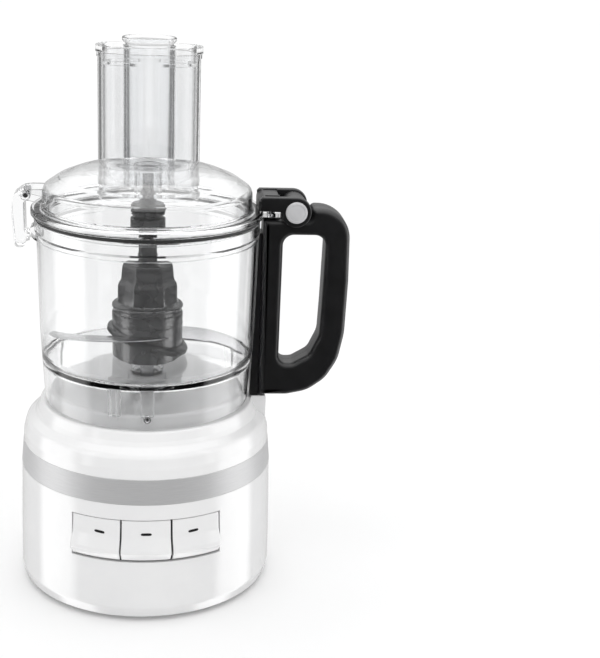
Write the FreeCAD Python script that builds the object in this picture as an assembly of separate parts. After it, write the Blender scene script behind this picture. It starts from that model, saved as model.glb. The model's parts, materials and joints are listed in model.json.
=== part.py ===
import FreeCAD, Part
import os, math

# Food processor, millimetres. +Z is up. The origin is on the drive spindle's axis, in the plane
# that the foot ring rests on. The controls face -Y. The handle, the lid hinge and the lid latch
# lie in one vertical plane through the spindle axis, turned HANDLE_AZ about Z.

# ---------------- driving dimensions ----------------
HANDLE_AZ = 0.0              # azimuth of the handle plane, degrees
# base
BASE_R = 94.3                # largest radius of the base
BASE_WALL = 3.0
BAND_Z0, BAND_Z1 = 91.0, 109.6
DECK_Z = 150.0               # top of the deck inside the bowl's skirt
SEAT_Z = 140.0               # ledge that the bowl's skirt stands on
WIN_Z0, WIN_Z1 = 47.2, 79.6  # button window
WIN_HALF = 34.3              # half angle of the window, degrees
# bowl
BOWL_FLOOR_Z = 172.0
BOWL_TOP_Z = 276.4
SKIRT_R = 75.2
CHIMNEY_R = 12.0
# lid
LID_FLANGE_R = 83.5
LID_TOP_Z = 315.6
TUBE_A, TUBE_B = 37.75, 22.6 # half width and half depth of the feed tube
TUBE_X, TUBE_Y = 0.5, 47.0   # centre of the feed tube
TUBE_TOP_Z = 388.6
CHUTE_Z = 283.0
# hinge of the lid, in the handle plane
HINGE_R, HINGE_Z = 106.0, 284.8
PIN_R = 4.0
ARM_IN, ARM_OUT = 13.0, 18.0
# latch pivot, in the handle plane, on the far side
LATCH_R, LATCH_Z = -86.0, 293.4
# handle
HW = 12.5                    # half width of the handle
# drive
SPINDLE_R = 5.0
MOTOR_Y = 54.0               # the motor's axis is at (0, MOTOR_Y)
PULLEY_R, PINION_R = 36.0, 8.0
# fits
RUN = 0.05                   # radial running clearance
GAP = 0.3

V = FreeCAD.Vector
Z = V(0, 0, 1)
O = V(0, 0, 0)
os.makedirs("parts", exist_ok=True)


# ---------------- helpers ----------------
def path2d(pts):
    """Closed outline of (x, y[, corner radius]) points, as lists of line and arc tuples."""
    n = len(pts)
    P = [(p[0], p[1], p[2] if len(p) > 2 else 0.0) for p in pts]
    seg, ends = [], []
    for i in range(n):
        ax, ay, _ = P[i - 1]
        bx, by, r = P[i]
        cx, cy, _ = P[(i + 1) % n]
        if r <= 0:
            ends.append(((bx, by), None, (bx, by)))
            continue
        ux, uy = ax - bx, ay - by
        vx, vy = cx - bx, cy - by
        lu, lv = math.hypot(ux, uy), math.hypot(vx, vy)
        ux, uy, vx, vy = ux / lu, uy / lu, vx / lv, vy / lv
        c = max(-1.0, min(1.0, ux * vx + uy * vy))
        ang = math.acos(c)
        if ang > math.pi - 1e-3:
            ends.append(((bx, by), None, (bx, by)))
            continue
        t = r / math.tan(ang / 2)
        d = r / math.sin(ang / 2)
        mx, my = ux + vx, uy + vy
        lm = math.hypot(mx, my)
        mx, my = mx / lm, my / lm
        mid = (bx + mx * (d - r), by + my * (d - r))
        ends.append(((bx + ux * t, by + uy * t), mid, (bx + vx * t, by + vy * t)))
    return ends


def wire(pts, f):
    """Wire of the outline; f maps (x, y) to a 3-D vector."""
    ends = path2d(pts)
    edges = []
    n = len(ends)
    for i in range(n):
        s, m, e = ends[i]
        if m is not None:
            edges.append(Part.Arc(f(*s), f(*m), f(*e)).toShape())
        nx = ends[(i + 1) % n][0]
        if math.hypot(nx[0] - e[0], nx[1] - e[1]) > 1e-6:
            edges.append(Part.LineSegment(f(*e), f(*nx)).toShape())
    return Part.Wire(edges)


def rev(pts, a0=0.0, a1=360.0):
    """Solid of revolution about Z of an (r, z) outline, from angle a0 to a1."""
    fc = Part.Face(wire(pts, lambda r, z: V(r, 0, z)))
    s = fc.revolve(O, Z, a1 - a0)
    if a0:
        s.rotate(O, Z, a0)
    return s


def plate(pts, y0, y1):
    """Outline in (x, z), extruded from y0 to y1."""
    fc = Part.Face(wire(pts, lambda x, z: V(x, y0, z)))
    return fc.extrude(V(0, y1 - y0, 0))


def slab(pts, z0, z1):
    """Outline in (x, y), extruded from z0 to z1."""
    fc = Part.Face(wire(pts, lambda x, y: V(x, y, z0)))
    return fc.extrude(V(0, 0, z1 - z0))


def cyl(r, z0, z1, x=0.0, y=0.0):
    return Part.makeCylinder(r, z1 - z0, V(x, y, z0))


def ycyl(r, y0, y1, x, z):
    return Part.makeCylinder(r, y1 - y0, V(x, y0, z), V(0, 1, 0))


def xcyl(r, x0, x1, y, z):
    return Part.makeCylinder(r, x1 - x0, V(x0, y, z), V(1, 0, 0))


def ring(r1, r0, z0, z1, x=0.0, y=0.0):
    return cyl(r1, z0, z1, x, y).cut(cyl(r0, z0 - 1, z1 + 1, x, y))


def box(x0, x1, y0, y1, z0, z1):
    return Part.makeBox(x1 - x0, y1 - y0, z1 - z0, V(x0, y0, z0))


def turn(s, a):
    t = s.copy()
    t.rotate(O, Z, a)
    return t


def hand(s):
    return turn(s, HANDLE_AZ)


def oval(a, b, z0, z1, n=2.7, cx=TUBE_X, cy=TUBE_Y):
    """Oval prism: a closed smooth curve through points of a superellipse."""
    pts = []
    for i in range(28):
        t = 2 * math.pi * i / 28
        c, s = math.cos(t), math.sin(t)
        pts.append(V(cx + a * math.copysign(abs(c) ** (2 / n), c),
                     cy + b * math.copysign(abs(s) ** (2 / n), s), z0))
    bs = Part.BSplineCurve()
    bs.interpolate(Points=pts, PeriodicFlag=True)
    return Part.Face(Part.Wire([bs.toShape()])).extrude(V(0, 0, z1 - z0))


def hexa(r, z, x=0.0, y=0.0, a0=0.0):
    return Part.makePolygon([V(x + r * math.cos(math.radians(a0 + 60 * i)),
                               y + r * math.sin(math.radians(a0 + 60 * i)), z) for i in range(7)])


def hexprism(r, z0, z1, a0=0.0):
    return Part.Face(hexa(r, z0, a0=a0)).extrude(V(0, 0, z1 - z0))


def fuse(*s):
    out = s[0]
    for t in s[1:]:
        out = out.fuse(t)
    try:
        out = out.removeSplitter()
    except Exception:
        pass
    return out


NODES = {}


def add(name, shape):
    sol = shape.Solids
    if len(sol) == 1:
        shape = sol[0]
    else:
        shape = Part.makeCompound(sol)
    if not shape.isValid():
        print("INVALID", name)
    NODES[name] = shape
    shape.exportStep("parts/%s.step" % name)
    print("%-20s solids %d  volume %.1f" % (name, len(sol), shape.Volume))


# ---------------- base ----------------
# rubber ring that the base rests on
add("foot_ring", rev([(66, 0, .8), (74, 0, .8), (74, 4.6), (66, 4.6)]))

screw_az = [45, 135, 225, 315]
cover = cyl(88.6, 3.0, 6.0)
cover = cover.cut(ring(74, 66, 2, 4.6))
cover = cover.fuse(rev([(85.2, 6), (87.4, 6), (87.4, 11), (85.2, 11)]))
for a in screw_az:
    p = V(82 * math.cos(math.radians(a)), 82 * math.sin(math.radians(a)), 0)
    cover = cover.cut(cyl(6.5, 6, 12, p.x, p.y)).cut(cyl(1.9, 2, 12, p.x, p.y)).cut(cyl(3.9, 2, 4.4, p.x, p.y))
for i in range(-4, 5):                      # air slots under the motor
    cover = cover.cut(box(i * 7 - 1.5, i * 7 + 1.5, 28, 28 + 26, 2, 7))
add("bottom_cover", cover)

# housing: outer skin from the bottom rim to the shoulder, the seat, the collar and the deck
outer = [(91.6, 3.0, 1.0), (BASE_R, 11, 6), (94.0, 45), (93.0, BAND_Z0 - .01), (93.0, BAND_Z0),
         (91.9, BAND_Z0), (90.3, BAND_Z1), (91.4, BAND_Z1), (91.2, 116.5, 8), (88.7, 125.8, 7), (82.6, 130.4, 2.5),
         (80.8, 133.6, 2), (78.0, 140.4, 2), (76.4, SEAT_Z), (71.6, SEAT_Z), (71.0, DECK_Z, 3), (14.5, DECK_Z, 2), (13.6, 158, 1),
         (11.0, 158, .6), (11.0, 147), (64, 147, 3), (67.6, 137, 4), (79.0, 130.2, 4), (85.6, 125.2, 4),
         (87.4, 117, 6), (87.6, 106), (89.2, 88), (91.0, 45), (91.2, 12), (88.8, 8.5), (88.8, 3.0)]
housing = rev(outer)
# screw bosses for the bottom cover and for the chassis plate
for a in screw_az:
    b = fuse(cyl(4.6, 6.2, 30, 82, 0), box(82, 91.6, -1.5, 1.5, 11.2, 30))
    b = b.cut(cyl(1.5, 2, 22, 82, 0))
    housing = housing.fuse(turn(b, a))
chas_az = [-30, 30, 150, 210]
for a in chas_az:
    b = fuse(cyl(4.8, 43.2, 70, 82.5, 0), box(82.5, 91.4, -1.5, 1.5, 43.2, 70))
    b = b.cut(cyl(1.6, 40, 60, 82.5, 0))
    housing = housing.fuse(turn(b, a))
# upright boss that holds the lid interlock plunger, under the end of the handle
pil = plate([(77.8, 118), (84.0, 112), (89.0, 116), (89.0, 141.2, 1.5), (77.8, 141.2, 1.5)], -7, 7)
pil = pil.cut(rev([(0, 100), (87.0, 100), (87.0, 117), (84.5, 125), (78.3, 130.8), (78.3, 150), (0, 150)]))
housing = housing.fuse(hand(pil))
housing = housing.cut(hand(box(82.9, 86.8, -3.4, 3.4, 112, 145)))
# button window
housing = housing.cut(rev([(86, WIN_Z0), (99, WIN_Z0), (99, WIN_Z1), (86, WIN_Z1)], -90 - WIN_HALF, -90 + WIN_HALF))
# hole for the cord gland at the back
housing = housing.cut(ycyl(6.6, 80, 100, 0, 22))
housing = housing.cut(ycyl(9.4, 80, 90.6, 0, 22))
add("base_housing", housing)

# silver band, seated in its groove
add("trim_band", rev([(91.9, BAND_Z0 + .05), (93.2, BAND_Z0 + .05, .4), (91.6, BAND_Z1 - .05, .4), (90.32, BAND_Z1 - .05)]))

# buttons: three paddles that hinge on pins behind their top edges
BP_R, BP_Z = 86.5, 74.5
btn = {"button_pulse": (-112.5, 11.05), "button_low": (-90.0, 10.6), "button_high": (-67.5, 11.05)}
paddle = [(93.0, 78.8, .8), (93.9, 66, 9), (97.4, 56.6, 1.2), (97.2, 54.2, 1), (92.9, 48.4, .5), (90.6, 48.4),
          (94.2, 54.6, 1), (94.4, 56, 1), (91.4, 65, 8), (90.6, 78.8)]
for name, (az, half) in btn.items():
    s = rev(paddle, -half, half)
    for y in (-11.5, 9.0):
        ear = plate([(92.0, 71.0), (92.0, 77.9), (BP_R - 2.9, 77.9, 2.6), (BP_R - 2.9, 71.2, 2.6), (90, 71.2)], y, y + 2.5)
        s = s.fuse(ear)
    rib = box(86.1, 95.0, -2.0, 2.0, 54.6, 57.4)
    s = s.fuse(rib)
    s = s.cut(ycyl(1.5 + RUN, -20, 20, BP_R, BP_Z))
    s = s.common(rev([(80, 40), (96.6, 47), (98.6, 56), (94.6, 66), (94.0, 79), (80, 79)], -half, half))
    add(name, turn(s, az))
pins, sw = [], []
frame = None
for az, half in btn.values():
    w = box(76.5, 79, -16.4, 16.4, 44, 82.6)
    for y in (-14.6, 12.8):
        w = w.fuse(plate([(78, 70), (88.9, 71.5, 2), (88.9, 77.6, 2), (78, 79.5)], y, y + 1.8))
    w = w.cut(ycyl(1.5, -20, 20, BP_R, BP_Z))
    w = turn(w, az)
    frame = w if frame is None else frame.fuse(w)
    pins.append(turn(ycyl(1.5, -14.6, 14.6, BP_R, BP_Z), az))
    b = box(79, 83.4, -6.5, 6.5, 50.5, 61).fuse(xcyl(1.3, 83, 84.6, 0, 56))
    sw.append(turn(b, az))
frame = frame.fuse(rev([(77, 80.6), (89.2, 80.6), (89.2, 82.6), (77, 82.6)], -124, -56))
frame = frame.fuse(rev([(77, 44), (90.2, 44), (90.2, 46), (77, 46)], -124, -56))
add("button_frame", frame)
add("button_pins", Part.makeCompound(pins))
add("micro_switches", Part.makeCompound(sw))
pcb = box(-28, 28, -70, -68.4, 46, 84)
pcb = fuse(pcb, box(-22, -4, -68.4, -54, 52, 66), box(2, 14, -68.4, -56, 50, 72),
           box(17, 25, -68.4, -62, 56, 64))
add("control_board", pcb)

# chassis plate with the bearing tower of the spindle
ch = cyl(86.2, 40, 43).fuse(cyl(17, 38, 138))
ch = ch.cut(cyl(9.0, 36, 140)).cut(cyl(13.0, 37, 49)).cut(cyl(13.0, 128, 139))
ch = ch.cut(cyl(7.2, 36, 45, 0, MOTOR_Y))
for a in (0, 60, 120, 180, 240, 300):
    ch = ch.fuse(turn(plate([(16, 43), (30, 43), (16, 80)], -1.5, 1.5), a + 0) if a not in (60, 120) else turn(plate([(16, 43), (22, 43), (16, 60)], -1.5, 1.5), a))
for a in chas_az:
    ch = ch.cut(turn(cyl(2.1, 36, 45, 82.5, 0), a))
for a in (200, 245, 295, 340):
    ch = ch.cut(turn(cyl(11, 36, 45, 58, 0), a))
add("chassis_plate", ch)
add("chassis_screws", Part.makeCompound([turn(fuse(cyl(3.6, 37.4, 40, 82.5, 0), cyl(1.6, 40, 58, 82.5, 0)).cut(cyl(1.2, 37, 38.6, 82.5, 0)), a) for a in chas_az]))
add("cover_screws", Part.makeCompound([turn(fuse(cyl(3.4, 2.2 + .8, 4.4, 82, 0), cyl(1.5, 4.4, 20, 82, 0)).cut(box(81.6, 82.4, -2, 2, 2.9, 3.8)), a) for a in screw_az]))

# spindle, its two ball bearings and its pulley
sp = fuse(cyl(SPINDLE_R, 11, 176), cyl(4.9, 176, 228), hexprism(4.6, 228, 239))
sp = sp.fuse(ring(6.6, 4.5, 49.4, 52))
add("drive_spindle", sp)
brg = []
for z in (41, 130):
    b = rev([(SPINDLE_R + .03, z), (12.95, z), (12.95, z + 8), (SPINDLE_R + .03, z + 8)])
    b = b.cut(rev([(7.6, z - 1), (10.4, z - 1), (10.4, z + 1), (7.6, z + 1)])).cut(rev([(7.6, z + 7), (10.4, z + 7), (10.4, z + 9), (7.6, z + 9)]))
    brg.append(b)
add("spindle_bearings", Part.makeCompound(brg))
pl = [(SPINDLE_R, 13), (12, 13), (12, 18.5), (31, 18.5), (31, 14.5), (PULLEY_R + 1, 14.5), (PULLEY_R, 15.6)]
for k in range(4):                           # four shallow V grooves
    z0 = 16.6 + k * 2.2
    pl += [(PULLEY_R, z0), (PULLEY_R - .9, z0 + 1.1), (PULLEY_R, z0 + 2.2)] if k == 3 else [(PULLEY_R, z0), (PULLEY_R - .9, z0 + 1.1)]
pl += [(PULLEY_R, 26.4), (PULLEY_R + 1, 27.5), (31, 27.5), (31, 23), (12, 23), (12, 36), (SPINDLE_R, 36)]
pul = rev(pl)
for a in range(6):
    pul = pul.cut(turn(cyl(6.5, 10, 30, 21.5, 0), 60 * a))
add("spindle_pulley", pul)

# motor
mp = rev([(3, 13), (12, 13), (12, 15), (PINION_R, 15.6), (PINION_R, 26.4), (12, 27), (12, 29), (6, 29), (6, 33), (3, 33)])
mp.translate(V(0, MOTOR_Y, 0))
add("motor_pulley", mp)
# poly-V belt: a closed loop round both pulleys
T = 2.4
C = MOTOR_Y
R1, R2 = PULLEY_R + GAP, PINION_R + GAP
al = math.asin((R1 - R2) / C)


def loop(r1, r2, z0, z1):
    # tangent points of the two outer tangents of the circles at the origin and at (0, C)
    s = (r1 - r2) / C
    c = math.sqrt(1 - s * s)
    p1, p2 = V(r1 * c, r1 * s, z0), V(r2 * c, C + r2 * s, z0)
    q1, q2 = V(-r1 * c, r1 * s, z0), V(-r2 * c, C + r2 * s, z0)
    w = Part.Wire([Part.LineSegment(p1, p2).toShape(), Part.Arc(p2, V(0, C + r2, z0), q2).toShape(),
                   Part.LineSegment(q2, q1).toShape(), Part.Arc(q1, V(0, -r1, z0), p1).toShape()])
    return Part.Face(w).extrude(V(0, 0, z1 - z0))


add("drive_belt", loop(R1 + T, R2 + T, 16.4, 25.6).cut(loop(R1, R2, 16, 26)))


def mot(s):
    t = s.copy()
    t.translate(V(0, MOTOR_Y, 0))
    return t


lb = fuse(cyl(31, 43, 46), cyl(10, 43, 52), ring(31, 28.5, 46, 64))
lb = lb.cut(cyl(7, 42, 53))
for a in (45, 135, 225, 315):
    lb = lb.cut(turn(box(20, 40, -8, 8, 48.5, 60), a))
for x in (-1, 1):
    lb = lb.fuse(box(30 * x if x > 0 else -38.5, 38.5 if x > 0 else -30, -4.5, 4.5, 46, 52))
for x in (-34.5, 34.5):
    lb = lb.cut(cyl(2.0, 40, 60, x, 0))
ub = fuse(cyl(31, 122, 125), cyl(9, 119.8, 128), ring(31, 28.5, 100, 122))
ub = ub.cut(cyl(6.5, 110, 130))
for a in (45, 135, 225, 315):
    ub = ub.cut(turn(box(20, 40, -6, 6, 106, 118), a))
for x in (-1, 1):
    ub = ub.fuse(box(30 if x > 0 else -38.5, 38.5 if x > 0 else -30, -4.5, 4.5, 116, 122))
    ub = ub.cut(box(20 if x > 0 else -32, 32 if x > 0 else -20, -4.2, 4.2, 108.6, 115.9))
for x in (-34.5, 34.5):
    ub = ub.cut(cyl(2.0, 112, 124, x, 0))
add("motor_end_bells", Part.makeCompound([mot(lb), mot(ub)]))
st = ring(31, 19.3, 64, 100)
for a in (0, 90, 180, 270):
    st = st.cut(turn(box(21.5, 27.5, -5, 5, 62, 102), a))
add("motor_stator", mot(st))
co = [turn(box(21.7, 27.3, -4.8, 4.8, 61, 104), a) for a in (0, 90, 180, 270)]
add("field_coils", Part.makeCompound([mot(c) for c in co]))
add("motor_bushings", Part.makeCompound([mot(ring(7, 3.03, 43.2, 52)), mot(ring(6.5, 3.03, 120, 128))]))
arm = fuse(cyl(3, 12, 131), cyl(10, 107, 119), cyl(14, 98, 104), cyl(14, 60.5, 64))
core = cyl(18.5, 64, 98)
for i in range(12):
    core = core.cut(turn(box(12, 20, -1.1, 1.1, 60, 100), 30 * i + 15))
add("motor_rotor", mot(fuse(arm, core)))
fan = cyl(7, 53, 58).cut(cyl(3, 50, 60))
fan = fan.fuse(ring(26, 5, 53, 54.2))
for i in range(9):
    fan = fan.fuse(turn(box(5.2, 25.4, -.7, .7, 53.6, 57.6), 40 * i + 3))
fan = fan.cut(cyl(3, 50, 60))
add("cooling_fan", mot(fan))
bh = []
for x in (-1, 1):
    b = box(10.3 if x > 0 else -31.5, 31.5 if x > 0 else -10.3, -4, 4, 109, 115.6)
    b = b.cut(cyl(10.3, 100, 120))
    bh.append(mot(b))
add("brush_holders", Part.makeCompound(bh))
bo = [mot(fuse(cyl(2.0, 43.2, 122, x, 0), cyl(3.4, 122, 124.6, x, 0))) for x in (-34.5, 34.5)]
add("motor_bolts", Part.makeCompound(bo))

# cord gland in the back wall
g = fuse(ycyl(6.55, 86.5, 97, 0, 22), ycyl(9.0, 94.35, 98.0, 0, 22), ycyl(9.0, 87.0, 90.5, 0, 22))
add("cord_gland", g.cut(ycyl(3.6, 80, 100, 0, 22)))

# interlock plunger, its spring and its switch, in the upright boss
pg = box(83.2, 86.5, -3.1, 3.1, 107.6, 138.1)
add("interlock_plunger", hand(pg))
add("interlock_switch", hand(box(76.5, 86.2, -9, 9, 94, 104.4).fuse(box(83.8, 86.0, -2.2, 2.2, 104.4, 107.3))))

# ---------------- bowl ----------------
bowl = rev([(SKIRT_R, 140.6, .8), (76.3, 160, 30), (78.1, 192, 60), (79.6, 264.4), (79.9, 266, .5), (81.2, 268.2, 1), (81.2, BOWL_TOP_Z, .8),
            (77.5, BOWL_TOP_Z, .6), (75.9, 179, 0), (75.0, BOWL_FLOOR_Z, 5), (CHIMNEY_R, BOWL_FLOOR_Z, 2), (CHIMNEY_R - .8, 226, .8),
            (9.2, 226, .6), (9.8, 161), (12.2, 161, .6), (12.4, 169.4, 1.5), (73.9, 169.4, 1.5), (72.8, 140.6, .6)])
# lug for the latch, opposite the handle
lug = plate([(-77, 270.5), (-77, 257.5), (-81, 260.5, 1.5), (-83.6, 263.2, 1), (-83.6, 268.6, 1), (-80, 270.4)], -8, 8)
lug = lug.cut(cyl(78.5, 250, 280))
bowl = bowl.fuse(hand(lug))
# rib that carries the handle
web = plate([(76.2, 166), (82.6, 166), (82.6, 261), (79.0, 261)], -2.2, 2.2)
web = web.cut(rev([(0, 100), (74.9, 100), (74.9, 160), (77.1, 192), (78.5, 262), (78.7, 300), (0, 300)]))
bowl = bowl.fuse(hand(web))
# short upright ribs inside the skirt
for a in (-90, -108, 30, 150):
    bowl = bowl.fuse(rev([(71.7, 149.5), (74.4, 149.5), (75.0, 170.6), (71.7, 170.6)], a - 3.4, a + 3.4))
add("bowl", bowl)

# ---------------- handle ----------------
hout = [(82.7, 143.5, 1.5), (104, 143.5, 8), (118.4, 148.2, 24), (130.5, 158.2, 24), (139.2, 173, 28), (143.8, 193, 40), (145.6, 232, 60), (145.2, 286.6, 21),
        (117.6, 286.6, 2), (117.2, 278.4, 3), (82.7, 278.4, 1.5)]
hin = [(97.3, 190, 0), (97.3, 168.4, 6), (106.5, 168.6, 8), (118.0, 176.6, 10), (125.2, 191, 16), (126.0, 215, 0), (127.2, 266.4, 8), (97.9, 266.4, 8), (97.3, 240)]
hole = plate(hin, -20, 20)
bar = plate([(97, 272), (97, 284.8), (115, 284.8), (115, 272)], -11.6, 11.6).fuse(ycyl(9.6, -11.6, 11.6, HINGE_R, HINGE_Z))
pinb = ycyl(PIN_R + RUN, -20, 20, HINGE_R, HINGE_Z)
rodc = box(80, 86.8, -3.5, 3.5, 130, 300)
hs = [(92.2, 155), (92.2, 272.3), (136.2, 250)]


def half(y0, y1, s):
    h = plate(hout, y0, y1).cut(hole)
    b = bar.common(box(80, 160, min(y0, y1), max(y0, y1), 100, 320))
    h = h.fuse(b).cut(pinb).cut(rodc)
    return h


hf = half(-HW, 0, -1)
hb = half(0, HW, 1)


def soften(h, s, r=3.2):
    """Rounds the outside edges of a handle half, on its outer face only."""
    f = s * HW
    es = []
    for e in h.Edges:
        vs = [v.Y for v in e.Vertexes]
        if vs and all(abs(v - f) < 1e-4 for v in vs):
            es.append(e)
    for rr in (r, 2.0, 1.2):
        try:
            q = h.makeFillet(rr, es)
            if q.isValid() and q.Volume > 0:
                return q
        except Exception:
            pass
    print("handle edges left sharp")
    return h


hf = soften(hf, -1)
hb = soften(hb, 1)
for x, z in hs:
    hb = hb.cut(ycyl(3.8, 8.4, 20, x, z)).cut(ycyl(1.6, -1, 20, x, z))
    hf = hf.cut(ycyl(1.6, -8, 1, x, z))
add("handle_front", hand(hf))
add("handle_back", hand(hb))
add("handle_screws", Part.makeCompound([hand(fuse(ycyl(1.6, -7.5, 8.4, x, z), ycyl(3.4, 8.4, 10.8, x, z)).cut(ycyl(1.4, 9.4, 12, x, z))) for x, z in hs]))
# strip between the bowl's wall and the handle, which closes the rod's channel
chn = plate([(76.7, 141.8, .6), (82.7, 141.8), (82.7, 267), (80.9, 267), (80.3, 262), (78.6, 192), (76.9, 160)], -7.5, 7.5)
chn = chn.cut(rev([(0, 130), (76.0, 130), (76.5, 160), (78.3, 192), (79.9, 262), (80.1, 264.6), (80.1, 300), (0, 300)]))
chn = chn.cut(box(70, 82.71, -2.3, 2.3, 164.6, 262.4))
add("rod_channel", hand(chn))
rod = box(83.1, 86.5, -3.0, 3.0, 138.4, 279.2)
add("interlock_rod", hand(rod))

# ---------------- lid ----------------
lid = rev([(LID_FLANGE_R, 279.6, .6), (LID_FLANGE_R, 284.2, 1.6), (75.4, 284.2, 1.5), (75.0, 298.2, 5.5), (64.5, 305.6, 12), (50.0, 311.4, 40),
           (26, 315.0, 60), (0, LID_TOP_Z), (0, LID_TOP_Z - 2.4), (26, 312.6, 60), (49.4, 309.0, 40), (63.2, 303.4, 12), (72.6, 297.2, 3.5),
           (72.8, 286), (70.4, 284), (70.4, 272.0, .6), (72.6, 272.0, .6), (72.6, 279.6)])
tube_o = oval(TUBE_A, TUBE_B, CHUTE_Z, TUBE_TOP_Z)
tube_rim = oval(TUBE_A + .8, TUBE_B + .8, TUBE_TOP_Z - 3, TUBE_TOP_Z)
tube_i = oval(TUBE_A - 2.4, TUBE_B - 2.4, CHUTE_Z - 5, TUBE_TOP_Z + 5)
boss = cyl(10, 293, 313.6).cut(cyl(8.2, 290, 311.8))
lid = lid.fuse(boss).fuse(tube_o).fuse(tube_rim).cut(tube_i)
# tongue under the black hinge fork, and ears for the latch
tong = box(74, 95, -10.5, 10.5, 279.6, 284.2)
tong = tong.cut(cyl(75, 270, 300))
for y in (-5.5, 5.5):
    tong = tong.cut(cyl(1.5, 279, 285, 89, y)).cut(cyl(3.0, 279, 281.6, 89, y))
lid = lid.fuse(hand(tong))
for y in (-12.6, 9.9):
    ear = plate([(-73.0, 287), (-84, 289.6, 3), (-89.8, 290.2, 3.5), (-89.8, 296.8, 3.5), (-82, 297.4, 2), (-73.0, 297.4)], y, y + 2.7)
    ear = ear.cut(cyl(73.6, 270, 300)).cut(ycyl(1.8, -20, 20, LATCH_R, LATCH_Z))
    lid = lid.fuse(hand(ear))
add("lid_seal", rev([(77.4, BOWL_TOP_Z + .05, .4), (80.9, BOWL_TOP_Z + .05, .6), (80.9, 279.6), (77.4, 279.6)]))

# black fork that carries the lid on the hinge pin
fork = None
for y0, y1 in ((-ARM_OUT, -ARM_IN), (ARM_IN, ARM_OUT)):
    a = plate([(79.5, 285.2, 1), (79.5, 295.8, 3), (104, 295.8, 8), (106, 295.8), (106, 285.2)], y0, y1).fuse(ycyl(11.0, y0, y1, HINGE_R, HINGE_Z))
    fork = a if fork is None else fork.fuse(a)
root = plate([(79, 284.2), (79, 292, 3), (83, 295.8, 3), (94.6, 295.8, 3), (94.6, 284.2)], -ARM_IN - .5, ARM_IN + .5)
root = root.cut(cyl(76.6, 270, 320))
fork = fork.fuse(root).cut(ycyl(PIN_R, -20, 20, HINGE_R, HINGE_Z))
for y in (-5.5, 5.5):
    fork = fork.cut(cyl(1.5, 280, 292, 89, y))
add("lid_hinge_fork", hand(fork))
add("lid_hinge_screws", Part.makeCompound([hand(fuse(cyl(1.5, 281.4, 292, 89, y), cyl(2.8, 279.7, 281.6, 89, y)).cut(box(88.6, 89.4, y - 1.9, y + 1.9, 279, 280.6))) for y in (-5.5, 5.5)]))
add("lid", lid)
add("hinge_pin", hand(ycyl(PIN_R, -ARM_OUT, ARM_OUT, HINGE_R, HINGE_Z)))
cap1 = fuse(ycyl(7.8, ARM_OUT, ARM_OUT + 1.8, HINGE_R, HINGE_Z))
try:
    cap1 = cap1.makeFillet(1.2, [e for e in cap1.Edges if all(abs(v.Y - ARM_OUT - 1.8) < 1e-5 for v in e.Vertexes)])
except Exception:
    pass
cap2 = cap1.mirror(O, V(0, 1, 0))
add("hinge_caps", Part.makeCompound([hand(cap1), hand(cap2)]))

# latch
lat = plate([(-82.6, 296.6, 3), (-89, 297, 3), (-94.4, 293, 5), (-96.4, 287, 6), (-96.3, 276, 8), (-95.6, 268, 8), (-94.6, 254.6, 3.2), (-87.4, 254.6, 3.2),
             (-87, 259, 1), (-84, 259.8, .8), (-84, 263.6, .8), (-87.2, 266.4, 2), (-87.4, 288, 2), (-83.2, 290.2, 2)], -9.4, 9.4)
lat = lat.cut(ycyl(1.6 + RUN, -20, 20, LATCH_R, LATCH_Z))
add("latch", hand(lat))
add("latch_pin", hand(ycyl(1.6, -12.6, 12.6, LATCH_R, LATCH_Z)))

# pushers
pa, pb = TUBE_A - 2.4 - .6, TUBE_B - 2.4 - .6
P0, P1 = 289.0, 389.0
pl1 = oval(pa, pb, P0, 391)
pl1 = pl1.fuse(oval(39.3, 24.1, 389.0, 393.4))
cav = oval(pa - 2.0, pb - 2.0, P0 + 2.2, 396)
chn_o = cyl(19.3, P0, 393.4, TUBE_X, TUBE_Y)
led = oval(pa - 2.0, pb - 2.0, 380, 382).cut(oval(pa - 5.5, pb - 5.5, 379, 383))
pl1 = pl1.cut(cav).fuse(chn_o.common(oval(pa - .5, pb - .5, P0 - 1, 393.4))).fuse(led)
pl1 = pl1.cut(cyl(17.3, P0 - 2, 400, TUBE_X, TUBE_Y))
add("pusher_large", pl1)
ps = rev([(0, 287.0), (16.0, 287.0, 1), (16.95, 300), (16.95, 392.8), (17.6, 394.6, 2), (19.9, 397.0, 1), (20.0, 399.6, .8), (18.6, 399.6, .6), (17.4, 397.2, 1), (15.6, 394, 2),
          (15.2, 391), (14.6, 290.4, 3), (0, 289.4)])
ps.translate(V(TUBE_X, TUBE_Y, 0))
add("pusher_small", ps)

# ---------------- drive hub, stem and blades in the bowl ----------------
hub = rev([(25.4, 172.6, .8), (26.1, 200, 0), (26.1, 204.6, 1), (23.6, 206.5, 1), (23.4, 210.6, 1), (25.4, 212, .6), (25.4, 215, .8), (22.6, 216.4, .8), (22.6, 218), (0, 218), (0, 172.6)])
h1 = Part.makeLoft([hexa(22.2, 217, a0=10), hexa(20.2, 236, a0=10)], True)
h2 = Part.makeLoft([hexa(20.2, 236, a0=10), hexa(17.4, 243, a0=10)], True)
hub = hub.fuse(h1).fuse(h2)
hub = hub.cut(cyl(13.4, 170, 229)).cut(hexprism(4.6 + .12, 228, 240.5))
grv = ring(28, 25.4, 198.6, 199.8)
hub = hub.cut(grv)
add("drive_hub", hub)
stem = rev([(0, 243), (9.0, 243, 1), (7.6, 246.5, 1), (6.7, 250, 2), (6.7, 267.4), (12.7, 268.0, .6), (12.7, 275.6, .6), (8.8, 276.4), (8.8, 278.2), (12.6, 278.8, .5), (12.6, 281.6, .5),
            (11.6, 282.0), (11.4, 287.6, .6), (6.2, 288.6, .8), (5.4, 293, 1), (4.1, 295, 1), (3.9, 309.6, 1.6), (0, 309.6)])
stem = stem.fuse(box(-12.2, 12.2, -2.2, 2.2, 282, 286.4))
add("disc_stem", stem)

tilt = 17.0


def tilted(s, zc=185.0):
    t = s.copy()
    t.rotate(O, V(0, 1, 0), tilt)
    t.translate(V(0, 0, zc))
    return t


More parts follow.
